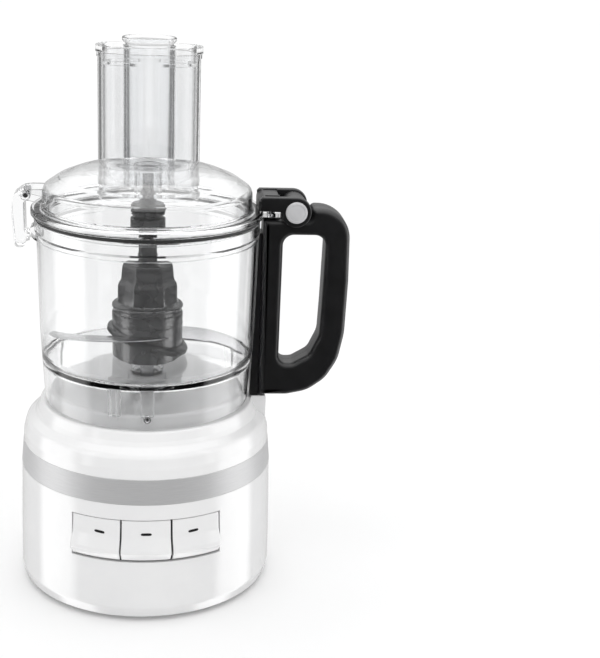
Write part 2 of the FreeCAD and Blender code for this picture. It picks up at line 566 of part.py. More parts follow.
col = rev([(24, -1.6), (30.8, -1.6, .8), (30.8, 1.6, .8), (28.4, 3.6, 1), (24, 3.6)])
col = tilted(col, 185.2)
col = col.cut(cyl(26.15, 150, 230))
add("blade_collar", col)


def crescent(t):
    """One blade in plan: a convex cutting edge and a concave back, from the collar out to the tip."""
    def pol(r, a):
        return V(r * math.cos(math.radians(a)), r * math.sin(math.radians(a)), 0)
    eo = Part.BSplineCurve()
    eo.interpolate([pol(29.6, 126), pol(40, 94), pol(53.5, 64), pol(64, 38), pol(70.5, 14), pol(72.2, -2)])
    tip = Part.Arc(pol(72.2, -2), pol(72.0, -6), pol(69.6, -7.5)).toShape()
    ei = Part.BSplineCurve()
    ei.interpolate([pol(69.6, -7.5), pol(60, 4), pol(50, 16), pol(40, 26), pol(29.6, 42)])
    back = Part.Arc(pol(29.6, 42), pol(29.6, 84), pol(29.6, 126)).toShape()
    return Part.Face(Part.Wire([eo.toShape(), tip, ei.toShape(), back])).extrude(V(0, 0, t))


def blade(z, pitch, a):
    s = crescent(1.5)
    s = s.fuse(ring(30.4, 29.4, 0, 1.5).common(rev([(20, -1), (40, -1), (40, 3), (20, 3)], 42, 126)))
    s.translate(V(0, 0, -0.75))
    s.rotate(O, V(1, 0, 0), pitch)
    s.rotate(O, Z, a)
    s.translate(V(0, 0, z))
    return s


b1 = blade(176.4, 3.0, 0)
b2 = blade(189.8, -3.0, 180)
fx = []
for b in (b1, b2):
    b = b.cut(NODES["blade_collar"]).cut(cyl(26.3, 150, 230))
    fx.append(max(b.Solids, key=lambda q: q.Volume))
add("cutting_blades", Part.makeCompound(fx))

bb = Part.makeCompound(list(NODES.values())).BoundBox
print("box", round(bb.XMin, 1), round(bb.XMax, 1), round(bb.YMin, 1), round(bb.YMax, 1), round(bb.ZMin, 1), round(bb.ZMax, 1))
print("nodes", len(NODES))
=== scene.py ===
import bpy, bmesh, math, json
from mathutils import Vector, Matrix

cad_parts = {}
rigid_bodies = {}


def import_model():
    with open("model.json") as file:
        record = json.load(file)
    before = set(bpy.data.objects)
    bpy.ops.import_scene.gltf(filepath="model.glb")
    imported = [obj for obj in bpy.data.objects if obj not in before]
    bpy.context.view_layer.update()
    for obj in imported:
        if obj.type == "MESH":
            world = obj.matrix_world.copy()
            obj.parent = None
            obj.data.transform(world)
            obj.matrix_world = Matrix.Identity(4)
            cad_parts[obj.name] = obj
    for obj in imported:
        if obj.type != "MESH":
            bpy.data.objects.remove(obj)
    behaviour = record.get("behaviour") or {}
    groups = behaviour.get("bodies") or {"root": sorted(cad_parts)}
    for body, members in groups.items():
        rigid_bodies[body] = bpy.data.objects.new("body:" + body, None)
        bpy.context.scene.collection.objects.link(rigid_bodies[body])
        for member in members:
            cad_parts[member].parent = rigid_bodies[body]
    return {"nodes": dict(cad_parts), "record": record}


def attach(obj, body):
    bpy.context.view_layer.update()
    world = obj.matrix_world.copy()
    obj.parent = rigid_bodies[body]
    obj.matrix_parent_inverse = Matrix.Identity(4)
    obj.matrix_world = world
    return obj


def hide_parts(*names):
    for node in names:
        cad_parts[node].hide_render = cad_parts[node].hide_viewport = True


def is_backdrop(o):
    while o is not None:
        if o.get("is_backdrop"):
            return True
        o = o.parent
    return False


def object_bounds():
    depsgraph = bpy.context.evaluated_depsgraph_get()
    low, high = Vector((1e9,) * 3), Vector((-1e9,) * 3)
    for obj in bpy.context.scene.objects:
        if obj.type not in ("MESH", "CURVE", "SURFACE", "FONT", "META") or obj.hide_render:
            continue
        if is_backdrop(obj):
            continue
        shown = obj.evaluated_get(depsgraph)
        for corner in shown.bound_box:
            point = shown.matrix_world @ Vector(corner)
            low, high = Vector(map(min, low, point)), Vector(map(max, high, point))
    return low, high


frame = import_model()
CAD_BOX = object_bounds()
NODES = frame["nodes"]
scene = bpy.context.scene
MM = 0.001


# ------------------------------------------------------------------ camera
def make_camera():
    cam = bpy.data.objects.new("camera", bpy.data.cameras.new("camera"))
    scene.collection.objects.link(cam)
    scene.camera = cam
    pitch = math.radians(17.62)
    f_px, cx = 1390.0, 147.4
    base = Matrix.Rotation(math.pi / 2 - pitch, 4, "X") @ Matrix.Rotation(math.radians(0.30), 4, "Z")
    yaw = math.atan((300.0 - cx) / f_px)
    rot = base @ Matrix.Rotation(-yaw, 4, "Y")
    cam.matrix_world = Matrix.Translation((0.0, -0.988, 0.505)) @ rot
    cam.data.sensor_fit = "VERTICAL"
    cam.data.sensor_height = 24.0
    cam.data.lens = f_px * 24.0 / 658.0
    cam.data.clip_start = 0.01
    cam.data.clip_end = 50


make_camera()


# ------------------------------------------------------------------ materials
def new_mat(name):
    m = bpy.data.materials.new(name)
    m.use_nodes = True
    nt = m.node_tree
    return m, nt, nt.nodes["Principled BSDF"]


def noise(nt, scale, detail=4.0, rough=0.6, stretch=None):
    tc = nt.nodes.new("ShaderNodeTexCoord")
    n = nt.nodes.new("ShaderNodeTexNoise")
    n.inputs["Scale"].default_value = scale
    n.inputs["Detail"].default_value = detail
    n.inputs["Roughness"].default_value = rough
    src = tc.outputs["Object"]
    if stretch:
        mp = nt.nodes.new("ShaderNodeMapping")
        mp.inputs["Scale"].default_value = stretch
        nt.links.new(src, mp.inputs["Vector"])
        src = mp.outputs["Vector"]
    nt.links.new(src, n.inputs["Vector"])
    return n


def ramp(nt, src, a, b, p0=0.3, p1=0.7):
    r = nt.nodes.new("ShaderNodeValToRGB")
    r.color_ramp.elements[0].position = p0
    r.color_ramp.elements[1].position = p1
    r.color_ramp.elements[0].color = (*a, 1)
    r.color_ramp.elements[1].color = (*b, 1)
    nt.links.new(src, r.inputs["Fac"])
    return r


def rough_map(nt, src, lo, hi):
    mr = nt.nodes.new("ShaderNodeMapRange")
    mr.inputs["To Min"].default_value = lo
    mr.inputs["To Max"].default_value = hi
    nt.links.new(src, mr.inputs["Value"])
    return mr


def bump(nt, src, strength, dist, bsdf):
    b = nt.nodes.new("ShaderNodeBump")
    b.inputs["Strength"].default_value = strength
    b.inputs["Distance"].default_value = dist
    nt.links.new(src, b.inputs["Height"])
    nt.links.new(b.outputs["Normal"], bsdf.inputs["Normal"])
    return b


def plastic(name, lo, hi, r0, r1, scale=60.0, fine=900.0, bmp=0.05, coat=0.0, ior=1.5, dist=0.0004):
    m, nt, p = new_mat(name)
    n1 = noise(nt, scale, 5.0)
    c = ramp(nt, n1.outputs["Fac"], lo, hi)
    nt.links.new(c.outputs["Color"], p.inputs["Base Color"])
    n2 = noise(nt, fine, 3.0)
    rm = rough_map(nt, n2.outputs["Fac"], r0, r1)
    nt.links.new(rm.outputs["Result"], p.inputs["Roughness"])
    bump(nt, n2.outputs["Fac"], bmp, dist, p)
    p.inputs["IOR"].default_value = ior
    if coat:
        p.inputs["Coat Weight"].default_value = coat
        p.inputs["Coat Roughness"].default_value = 0.05
    return m


def metal(name, lo, hi, r0, r1, stretch, aniso=0.0, bmp=0.1, metallic=1.0, scale=400.0):
    m, nt, p = new_mat(name)
    n1 = noise(nt, scale, 6.0, 0.7, stretch=stretch)
    c = ramp(nt, n1.outputs["Fac"], lo, hi)
    nt.links.new(c.outputs["Color"], p.inputs["Base Color"])
    rm = rough_map(nt, n1.outputs["Fac"], r0, r1)
    nt.links.new(rm.outputs["Result"], p.inputs["Roughness"])
    p.inputs["Metallic"].default_value = metallic
    if aniso:
        p.inputs["Anisotropic"].default_value = aniso
    bump(nt, n1.outputs["Fac"], bmp, 0.0002, p)
    return m


def clear(name, lo, hi, r0=0.01, r1=0.05, ior=1.45, scale=35.0, alpha=1.0):
    m, nt, p = new_mat(name)
    n1 = noise(nt, scale, 3.0)
    c = ramp(nt, n1.outputs["Fac"], lo, hi)
    nt.links.new(c.outputs["Color"], p.inputs["Base Color"])
    rm = rough_map(nt, n1.outputs["Fac"], r0, r1)
    nt.links.new(rm.outputs["Result"], p.inputs["Roughness"])
    p.inputs["Transmission Weight"].default_value = 1.0
    p.inputs["IOR"].default_value = ior
    p.inputs["Alpha"].default_value = alpha
    return m


M = {}
M["base_plastic"] = plastic("white_gloss_plastic", (0.86, 0.86, 0.865), (0.90, 0.90, 0.90), 0.10, 0.16, 25, 700, 0.02, coat=0.3)
M["silver_band"] = metal("silver_band_finish", (0.50, 0.50, 0.505), (0.60, 0.60, 0.605), 0.34, 0.46, (0.15, 0.15, 8.0), 0.2, 0.08, 0.25, 500)
M["black_plastic"] = plastic("black_satin_plastic", (0.006, 0.006, 0.0065), (0.011, 0.011, 0.012), 0.30, 0.42, 80, 2200, 0.06)
M["inner_plastic"] = plastic("inner_moulding", (0.10, 0.10, 0.11), (0.14, 0.14, 0.15), 0.4, 0.55, 60, 900, 0.1)
M["cap_plastic"] = plastic("cap_plastic", (0.50, 0.50, 0.51), (0.60, 0.60, 0.61), 0.2, 0.3, 60, 1500, 0.05)
M["hub_plastic"] = plastic("hub_dark_plastic", (0.011, 0.011, 0.0115), (0.017, 0.017, 0.018), 0.22, 0.27, 45, 120, 0.0)
M["clear_plastic"] = clear("clear_plastic", (0.975, 0.978, 0.98), (0.99, 0.992, 0.995), ior=1.46)
M["clear_lid"] = clear("clear_plastic_lid", (0.945, 0.948, 0.95), (0.962, 0.964, 0.967), ior=1.46)
M["clear_soft"] = clear("clear_plastic_thin", (0.985, 0.988, 0.99), (0.995, 0.996, 0.998), ior=1.30)
M["rubber"] = plastic("black_rubber", (0.018, 0.018, 0.018), (0.03, 0.03, 0.03), 0.6, 0.8, 120, 1800, 0.3)
M["steel"] = metal("brushed_steel", (0.50, 0.50, 0.51), (0.68, 0.68, 0.69), 0.16, 0.3, (1, 6, 6), 0.2, 0.05)
M["cast_metal"] = metal("cast_aluminium", (0.38, 0.39, 0.40), (0.5, 0.51, 0.52), 0.4, 0.6, (1, 1, 1), 0.0, 0.3, 1.0, 900)
M["laminations"] = metal("steel_laminations", (0.12, 0.12, 0.13), (0.26, 0.26, 0.27), 0.35, 0.5, (0.1, 0.1, 12.0), 0.0, 0.3, 1.0, 600)
M["copper"] = metal("copper_winding", (0.45, 0.16, 0.06), (0.62, 0.28, 0.12), 0.25, 0.4, (4, 4, 0.5), 0.0, 0.4, 1.0, 900)
M["bronze"] = metal("sintered_bronze", (0.36, 0.22, 0.08), (0.5, 0.34, 0.14), 0.4, 0.55, (1, 1, 1), 0.0, 0.2, 1.0, 1200)
M["board"] = plastic("circuit_board", (0.01, 0.09, 0.035), (0.02, 0.13, 0.05), 0.3, 0.4, 200, 1500, 0.05)
SLOT = {s["node"]: s["material_slot"] for s in frame["record"]["subparts"]}
SPECIAL = {"pusher_large": "clear_soft", "pusher_small": "clear_soft", "lid": "clear_lid"}

for n, o in NODES.items():
    mat = M[SPECIAL.get(n, SLOT[n])]
    if o.data.materials:
        for i in range(len(o.data.materials)):
            o.data.materials[i] = mat
    else:
        o.data.materials.append(mat)


# ------------------------------------------------------------------ mesh helpers (millimetres in, metres out)
def outline(pts, seg=5):
    """Closed outline of (x, y[, corner radius]) points with the corners rounded, as a list of points."""
    n = len(pts)
    P = [(p[0], p[1], p[2] if len(p) > 2 else 0.0) for p in pts]
    out = []
    for i in range(n):
        ax, ay, _ = P[i - 1]
        bx, by, r = P[i]
        cx, cy, _ = P[(i + 1) % n]
        if r <= 0:
            out.append((bx, by))
            continue
        ux, uy, vx, vy = ax - bx, ay - by, cx - bx, cy - by
        lu, lv = math.hypot(ux, uy), math.hypot(vx, vy)
        ux, uy, vx, vy = ux / lu, uy / lu, vx / lv, vy / lv
        ang = math.acos(max(-1.0, min(1.0, ux * vx + uy * vy)))
        if ang > math.pi - 1e-3:
            out.append((bx, by))
            continue
        t, d = r / math.tan(ang / 2), r / math.sin(ang / 2)
        mx, my = ux + vx, uy + vy
        lm = math.hypot(mx, my)
        ox, oy = bx + mx / lm * d, by + my / lm * d
        s0 = math.atan2(by + uy * t - oy, bx + ux * t - ox)
        s1 = math.atan2(by + vy * t - oy, bx + vx * t - ox)
        da = (s1 - s0 + math.pi) % (2 * math.pi) - math.pi
        k = max(2, int(seg * abs(da) / 0.8) + 1)
        for j in range(k + 1):
            a = s0 + da * j / k
            out.append((ox + r * math.cos(a), oy + r * math.sin(a)))
    return out


def arc(cx, cy, r, a0, a1, n=24):
    return [(cx + r * math.cos(math.radians(a0 + (a1 - a0) * i / n)), cy + r * math.sin(math.radians(a0 + (a1 - a0) * i / n))) for i in range(n + 1)]


def finish_piece(name, me, body, slot, replaces=(), mat=None, sharp=34.0, clean=True):
    bm = bmesh.new()
    bm.from_mesh(me)
    if clean:
        bmesh.ops.remove_doubles(bm, verts=bm.verts, dist=1.5e-6)
    bmesh.ops.recalc_face_normals(bm, faces=bm.faces)
    bm.to_mesh(me)
    bm.free()
    me.shade_smooth()
    me.set_sharp_from_angle(angle=math.radians(sharp))
    o = bpy.data.objects.new(name, me)
    me.name = name
    scene.collection.objects.link(o)
    me.materials.clear()
    me.materials.append(M[mat or slot])
    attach(o, body)
    if replaces:
        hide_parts(*replaces)
    return o


def rings_mesh(name, rings, closed=False, caps=True):
    """Mesh through rings of 3-D points (mm), each ring the same length."""
    n = len(rings[0])
    vs = [(x * MM, y * MM, z * MM) for r in rings for x, y, z in r]
    fs = []
    m = len(rings)
    for i in range(m if closed else m - 1):
        a, b = i * n, ((i + 1) % m) * n
        for j in range(n):
            k = (j + 1) % n
            fs.append((a + j, a + k, b + k, b + j))
    if caps and not closed:
        fs.append(tuple(range(n)))
        fs.append(tuple((m - 1) * n + j for j in range(n)))
    me = bpy.data.meshes.new(name)
    me.from_pydata(vs, [], fs)
    return me


def lathe(prof, n=128, cx=0.0, cy=0.0, mod=None):
    """Rings about Z for an (r, z) profile; mod(angle, r, z) may change the radius."""
    out = []
    for r, z in prof:
        ring = []
        for j in range(n):
            a = 2 * math.pi * j / n
            q = mod(a, r, z) if mod else r
            ring.append((cx + q * math.cos(a), cy + q * math.sin(a), z))
        out.append(ring)
    return out


def axle(prof, n, x, z, s=1.0):
    """Rings about an axis along Y at (x, z) for an (r, y) profile; s mirrors it."""
    return [[(x + r * math.cos(2 * math.pi * j / n), s * y, z + r * math.sin(2 * math.pi * j / n)) for j in range(n)] for r, y in prof]


def plate_mesh(name, outlines, y0, y1, bev, segs=3):
    """Plate in the XZ plane from y0 to y1 with all its edges rounded, holes included."""
    cu = bpy.data.curves.new(name, "CURVE")
    cu.dimensions = "2D"
    cu.fill_mode = "BOTH"
    for ol in outlines:
        sp = cu.splines.new("POLY")
        sp.points.add(len(ol) - 1)
        for i, (x, z) in enumerate(ol):
            sp.points[i].co = (x * MM, z * MM, 0, 1)
        sp.use_cyclic_u = True
    cu.extrude = ((y1 - y0) / 2 - bev) * MM
    cu.bevel_depth = bev * MM
    cu.bevel_resolution = segs
    cu.offset = -bev * MM
    tmp = bpy.data.objects.new(name + "_c", cu)
    scene.collection.objects.link(tmp)
    deps = bpy.context.evaluated_depsgraph_get()
    me = bpy.data.meshes.new_from_object(tmp.evaluated_get(deps))
    bpy.data.objects.remove(tmp)
    bpy.data.curves.remove(cu)
    ym = (y0 + y1) / 2 * MM
    for v in me.vertices:
        x, z, t = v.co
        v.co = (x, ym - t, z)
    bm = bmesh.new()
    bm.from_mesh(me)
    bmesh.ops.remove_doubles(bm, verts=bm.verts, dist=2e-6)
    bmesh.ops.recalc_face_normals(bm, faces=bm.faces)
    bm.to_mesh(me)
    bm.free()
    return me


def joined(name, meshes):
    bm = bmesh.new()
    for me in meshes:
        bm.from_mesh(me)
    out = bpy.data.meshes.new(name)
    bm.to_mesh(out)
    bm.free()
    return out


def keep_side(me, y, front):
    """Cuts a mesh at the plane y (mm), keeps one side and closes the cut."""
    bm = bmesh.new()
    bm.from_mesh(me)
    r = bmesh.ops.bisect_plane(bm, geom=bm.verts[:] + bm.edges[:] + bm.faces[:], plane_co=(0, y * MM, 0), plane_no=(0, 1, 0),
                               clear_outer=front, clear_inner=not front, dist=1e-7)
    edges = [e for e in bm.edges if len(e.link_faces) == 1]
    bmesh.ops.triangle_fill(bm, use_beauty=True, use_dissolve=False, edges=edges)
    bmesh.ops.recalc_face_normals(bm, faces=bm.faces)
    out = bpy.data.meshes.new("half")
    bm.to_mesh(out)
    bm.free()
    return out


def boolean(me, cutter, op="DIFFERENCE"):
    a = bpy.data.objects.new("tmp_a", me)
    b = bpy.data.objects.new("tmp_b", cutter)
    scene.collection.objects.link(a)
    scene.collection.objects.link(b)
    md = a.modifiers.new("cut", "BOOLEAN")
    md.object = b
    md.operation = op
    md.solver = "EXACT"
    deps = bpy.context.evaluated_depsgraph_get()
    out = bpy.data.meshes.new_from_object(a.evaluated_get(deps))
    bpy.data.objects.remove(a)
    bpy.data.objects.remove(b)
    return out


def bevelled(me, width, segs=2, angle=40.0):
    a = bpy.data.objects.new("tmp_b", me)
    scene.collection.objects.link(a)
    md = a.modifiers.new("bevel", "BEVEL")
    md.width = width * MM
    md.segments = segs
    md.limit_method = "ANGLE"
    md.angle_limit = math.radians(angle)
    md.miter_outer = "MITER_ARC"
    deps = bpy.context.evaluated_depsgraph_get()
    out = bpy.data.meshes.new_from_object(a.evaluated_get(deps))
    bpy.data.objects.remove(a)
    return out


def box_mesh(x0, x1, y0, y1, z0, z1):
    bm = bmesh.new()
    bmesh.ops.create_cube(bm, size=1.0)
    for v in bm.verts:
        v.co = (((x0 + x1) / 2 + v.co.x * (x1 - x0)) * MM, ((y0 + y1) / 2 + v.co.y * (y1 - y0)) * MM, ((z0 + z1) / 2 + v.co.z * (z1 - z0)) * MM)
    out = bpy.data.meshes.new("cutter")
    bm.to_mesh(out)
    bm.free()
    return out


def spin_z(me, deg):
    me.transform(Matrix.Rotation(math.radians(deg), 4, "Z"))
    return me


# ------------------------------------------------------------------ handle
HX, HZ = 106.0, 284.8
HW = 12.5
SCREWS = [(92.2, 155), (92.2, 272.3), (136.2, 250)]


def make_handle():
    hout = outline([(82.9, 143.5, 1.5), (104, 143.5, 8), (119.6, 146.6, 24), (133.0, 156.2, 24), (142.0, 171.4, 28), (146.0, 192, 40), (147.2, 232, 60), (146.4, 286.6, 23),
                    (118.2, 286.8, 4), (117.4, 278.2, 3), (82.9, 278.2, 2.5)], 7)
    hin = outline([(97.3, 168.4, 6), (107.6, 168.4, 8), (120.2, 175.6, 10), (127.0, 190, 16), (128.0, 215, 0), (129.2, 266.4, 8), (97.9, 266.4, 8)], 7)
    body = plate_mesh("handle", [hout, hin], -HW, HW, 4.4, 6)
    knuckle = plate_mesh("knuckle", [[(97.0, 272.0)] + arc(HX, HZ, 9.6, 172, 8, 26) + [(115.0, 272.0)]], -11.6, 11.6, 0.8, 3)
    channel = box_mesh(79.0, 86.8, -3.5, 3.5, 120, 300)
    for name, front, body_half in (("handle_front_shell", True, keep_side(body, -0.12, True)), ("handle_back_shell", False, keep_side(body, 0.12, False))):
        h = boolean(body_half, channel.copy())
        k = keep_side(knuckle, -0.12 if front else 0.12, front)
        hole = rings_mesh("hole", axle([(4.05, -30), (4.05, 30)], 48, HX, HZ))
        k = boolean(k, hole)
        if not front:
            cut = joined("cut", [rings_mesh("c", axle([(3.8, 8.4), (3.8, 16)], 40, x, z)) for x, z in SCREWS])
            h = boolean(h, cut)
        me = joined(name, [h, k])
        finish_piece(name, me, "bowl", "black_plastic", ["handle_front" if front else "handle_back"], sharp=38, clean=False)


make_handle()


# ------------------------------------------------------------------ lid hinge
def make_hinge():
    arm = [(79.6, 285.3), (79.6, 294.0), (81.4, 295.8)] + arc(HX, HZ, 11.0, 90, -180, 54)
    parts = [plate_mesh("arm", [arm], y0, y1, 1.3, 4) for y0, y1 in ((-18, -13), (13, 18))]
    root = outline([(79, 284.3, .4), (79, 292, 3), (83, 295.6, 3), (94.4, 295.6, 2.4), (94.4, 284.3, .4)], 5)
    parts.append(plate_mesh("root", [root], -13.4, 13.4, 0.25, 2))
    # raised rib round the recess on top of the fork
    rib = [(83.5, 295.2), (83.5, 296.3), (94.0, 296.3), (94.0, 295.2)]
    parts += [plate_mesh("rib", [rib], y0, y1, 0.4, 2) for y0, y1 in ((-12.6, -10.6), (10.6, 12.6))]
    finish_piece("lid_hinge_fork_shell", joined("fork", parts), "lid", "black_plastic", ["lid_hinge_fork"], sharp=38, clean=False)
    caps = []
    for s in (-1, 1):
        prof = [(0.0, 17.2), (7.9, 17.2), (7.9, 18.4), (7.75, 18.95), (7.3, 19.35), (6.4, 19.55), (6.0, 19.3), (5.6, 19.3), (4.6, 19.55), (2.6, 19.75), (0.0, 19.82)]
        caps.append(rings_mesh("cap", axle(prof, 72, HX, HZ, s), caps=False))
    finish_piece("hinge_cap_discs", joined("caps", caps), "lid", "cap_plastic", ["hinge_caps"], sharp=40)


make_hinge()


# ------------------------------------------------------------------ latch
def make_latch():
    ol = outline([(-82.6, 296.6, 2.6), (-89, 297, 3), (-94.4, 293, 5), (-96.4, 287, 6), (-96.3, 276, 8), (-95.6, 268, 8), (-94.6, 254.6, 3.2), (-87.4, 254.6, 3.2),
                  (-87, 259, .8), (-84, 259.8, .8), (-84, 263.6, .8), (-87.2, 266.4, 2), (-87.4, 288, 2), (-83.2, 290.2, 2)], 6)
    me = plate_mesh("latch", [ol], -9.4, 9.4, 1.0, 4)
    hole = rings_mesh("hole", axle([(1.7, -30), (1.7, 30)], 32, -86.0, 293.4))
    me = boolean(me, hole)
    finish_piece("latch_paddle", me, "latch", "clear_plastic", ["latch"], sharp=38, clean=False)


make_latch()


# ------------------------------------------------------------------ buttons
BTN = {"button_pulse": ("pulse_button", -112.5, 11.05), "button_low": ("low_button", -90.0, 10.6), "button_high": ("high_button", -67.5, 11.05)}


def make_buttons():
    prof = outline([(93.0, 78.8, .5), (93.7, 66, 10), (96.9, 57.4, 2.4), (97.3, 54.8, 1.2), (93.2, 48.6, .8), (91.2, 48.4, .4), (94.0, 54.4, 1), (94.0, 56.4, 1), (91.6, 65, 8), (90.7, 78.8, .5)], 5)
    for name, (body, az, half) in BTN.items():
        n = 26
        rings = []
        for i in range(n + 1):
            a = math.radians(az - half + 2 * half * i / n)
            rings.append([(r * math.cos(a), r * math.sin(a), z) for r, z in prof])
        me = bevelled(rings_mesh(name, rings), 0.55, 3, 50)
        parts = [me]
        for y in (-11.5, 9.0):
            ear = plate_mesh("ear", [outline([(91.6, 71.0), (91.6, 77.6), (83.6, 77.6, 2.6), (83.6, 71.2, 2.6), (90, 71.2)], 5)], y, y + 2.5, 0.3, 2)
            ear = boolean(ear, rings_mesh("h", axle([(1.56, -30), (1.56, 30)], 28, 86.5, 74.5)))
            parts.append(spin_z(ear, az))
        parts.append(spin_z(box_mesh(86.1, 94.2, -2.0, 2.0, 55.0, 56.6), az))
        finish_piece(name + "_paddle", joined(name, parts), body, "base_plastic", [name], sharp=36, clean=False)
        # a plain raised dash on the face in place of lettering
        tilt = {"button_pulse": -0.32, "button_low": 0.0, "button_high": 0.26}[name]
        daz = {"button_pulse": 1.9, "button_low": 0.0, "button_high": -1.7}[name]
        w = 3.8
        m = 15
        top = []
        for j in range(m * 2):
            t = 2 * math.pi * j / (m * 2)
            x = w * math.copysign(abs(math.cos(t)) ** 0.45, math.cos(t))
            z = 0.98 * math.copysign(abs(math.sin(t)) ** 0.7, math.sin(t))
            top.append((x, z))
        rr = []
        for h, k in ((-0.5, 1.0), (0.10, 1.0), (0.22, 0.86), (0.26, 0.6)):
            ring = []
            for x, z in top:
                zz = 69.0 + z * k + tilt * x / w
                R = 93.45 + (78.8 - zz) * 0.012 + h
                a = math.radians(az + daz) + x * (1 if k == 1.0 else 0.5 + 0.5 * k) / R
                ring.append((R * math.cos(a), R * math.sin(a), zz))
            rr.append(ring)
        finish_piece(name + "_dash", rings_mesh("dash", rr), body, "black_plastic", sharp=50)


make_buttons()


# ------------------------------------------------------------------ drive hub and stem
def hexr(a, R, a0, soft):
    """Radius at angle a of a hexagon with circumradius R and softened corners."""
    t = (a - math.radians(a0)) % (math.pi / 3) - math.pi / 6
    h = R * math.cos(math.pi / 6) / math.cos(t)
    return min(h, R * (1 - soft) + soft * R * math.cos(math.pi / 6))


def make_hub():
    A0 = 3.0
    n = 216
    # (r, z, how much of a hexagon)
    prof = [(13.4, 172.7, 0), (24.8, 172.7, 0), (25.6, 173.4, 0), (26.0, 197.8, 0), (25.3, 198.3, 0), (25.2, 199.5, 0), (25.9, 200.0, 0), (26.0, 205.4, 0), (25.7, 206.2, 0),
            (25.0, 206.7, 0), (24.7, 207.4, 0), (24.7, 209.0, 0), (25.2, 209.5, 0), (25.8, 209.9, 0), (26.1, 210.6, 0), (26.0, 211.5, 0), (25.4, 212.2, 0), (24.2, 212.6, 0), (22.4, 213.2, 0),
            (21.8, 214.0, 0.1), (21.9, 217.0, 0.45), (21.9, 221.0, 0.8), (21.8, 225.5, 1), (21.2, 227.6, 1), (19.9, 229.6, 1), (19.3, 231.6, 1), (19.0, 236.0, 1), (18.6, 239.6, 1), (18.1, 241.4, 1), (17.3, 242.6, 1), (16.4, 243.0, 1), (12.0, 243.2, 0.5), (9.4, 243.2, 0), (9.0, 242.6, 0), (4.9, 242.6, 0), (4.75, 229.0, 0), (13.4, 229.0, 0)]
    rings = []
    for r, z, h in prof:
        ring = []
        for j in range(n):
            a = 2 * math.pi * j / n
            q = r * (1 - h) + h * hexr(a, r, A0, 0.06)
            ring.append((q * math.cos(a), q * math.sin(a), z))
        rings.append(ring)
    finish_piece("drive_hub_body", rings_mesh("hub", rings, closed=True), "blade_set", "hub_plastic", ["drive_hub"], sharp=30)


make_hub()


# ------------------------------------------------------------------ blades
def smooth_curve(pts, n):
    """Catmull-Rom through (r, angle) points; returns n + 1 xy points."""
    P = [pts[0]] + pts + [pts[-1]]
    out = []
    segs = len(pts) - 1
    for i in range(n + 1):
        t = i / n * segs
        k = min(int(t), segs - 1)
        f = t - k
        q = []
        for c in (0, 1):
            p0, p1, p2, p3 = (P[k + m][c] for m in range(4))
            q.append(0.5 * (2 * p1 + (p2 - p0) * f + (2 * p0 - 5 * p1 + 4 * p2 - p3) * f * f + (3 * p1 - p0 - 3 * p2 + p3) * f ** 3))
        a = math.radians(q[1])
        out.append((q[0] * math.cos(a), q[0] * math.sin(a)))
    return out


def make_blades():
    edge = smooth_curve([(29.6, 122), (40, 94), (53.5, 64), (64, 38), (70.5, 14), (72.2, -2), (71.4, -6.4)], 60)
    back = smooth_curve([(29.6, 42), (40, 26), (50, 16), (60, 4), (69.6, -7.0)], 60)
    parts = []
    for pitch, spin, z in ((3.0, 0.0, 176.4), (11.0, 180.0, 188.0)):
        rings = []
        for (ox, oy), (ix, iy) in zip(edge, back):
            w = math.hypot(ox - ix, oy - iy)
            ux, uy = ((ox - ix) / w, (oy - iy) / w) if w > 1e-6 else (1, 0)
            g = min(3.8, w * 0.45)
            s = min(0.35, w * 0.1)
            ring = []
            for d, h in ((s, 0.75), (w - g, 0.75), (w - g * 0.5, 0.48), (w, 0.08), (w, -0.08), (w - g * 0.2, -0.75), (s, -0.75), (0, -0.4), (0, 0.4)):
                ring.append((ix + ux * d, iy + uy * d, h))
            rings.append(ring)
        me = rings_mesh("blade", rings)
        me.transform(Matrix.Translation((0, 0, z * MM)) @ Matrix.Rotation(math.radians(spin), 4, "Z") @ Matrix.Rotation(math.radians(pitch), 4, "X"))
        parts.append(me)
    finish_piece("cutting_blades_ground", joined("blades", parts), "blade_set", "steel", ["cutting_blades"], sharp=25)


make_blades()


# ------------------------------------------------------------------ small moulded details
def ring_profile(r0, r1, z0, z1, f=0.3, k=3):
    return outline([(r0, z0, f), (r1, z0, f), (r1, z1, f), (r0, z1, f)], k)


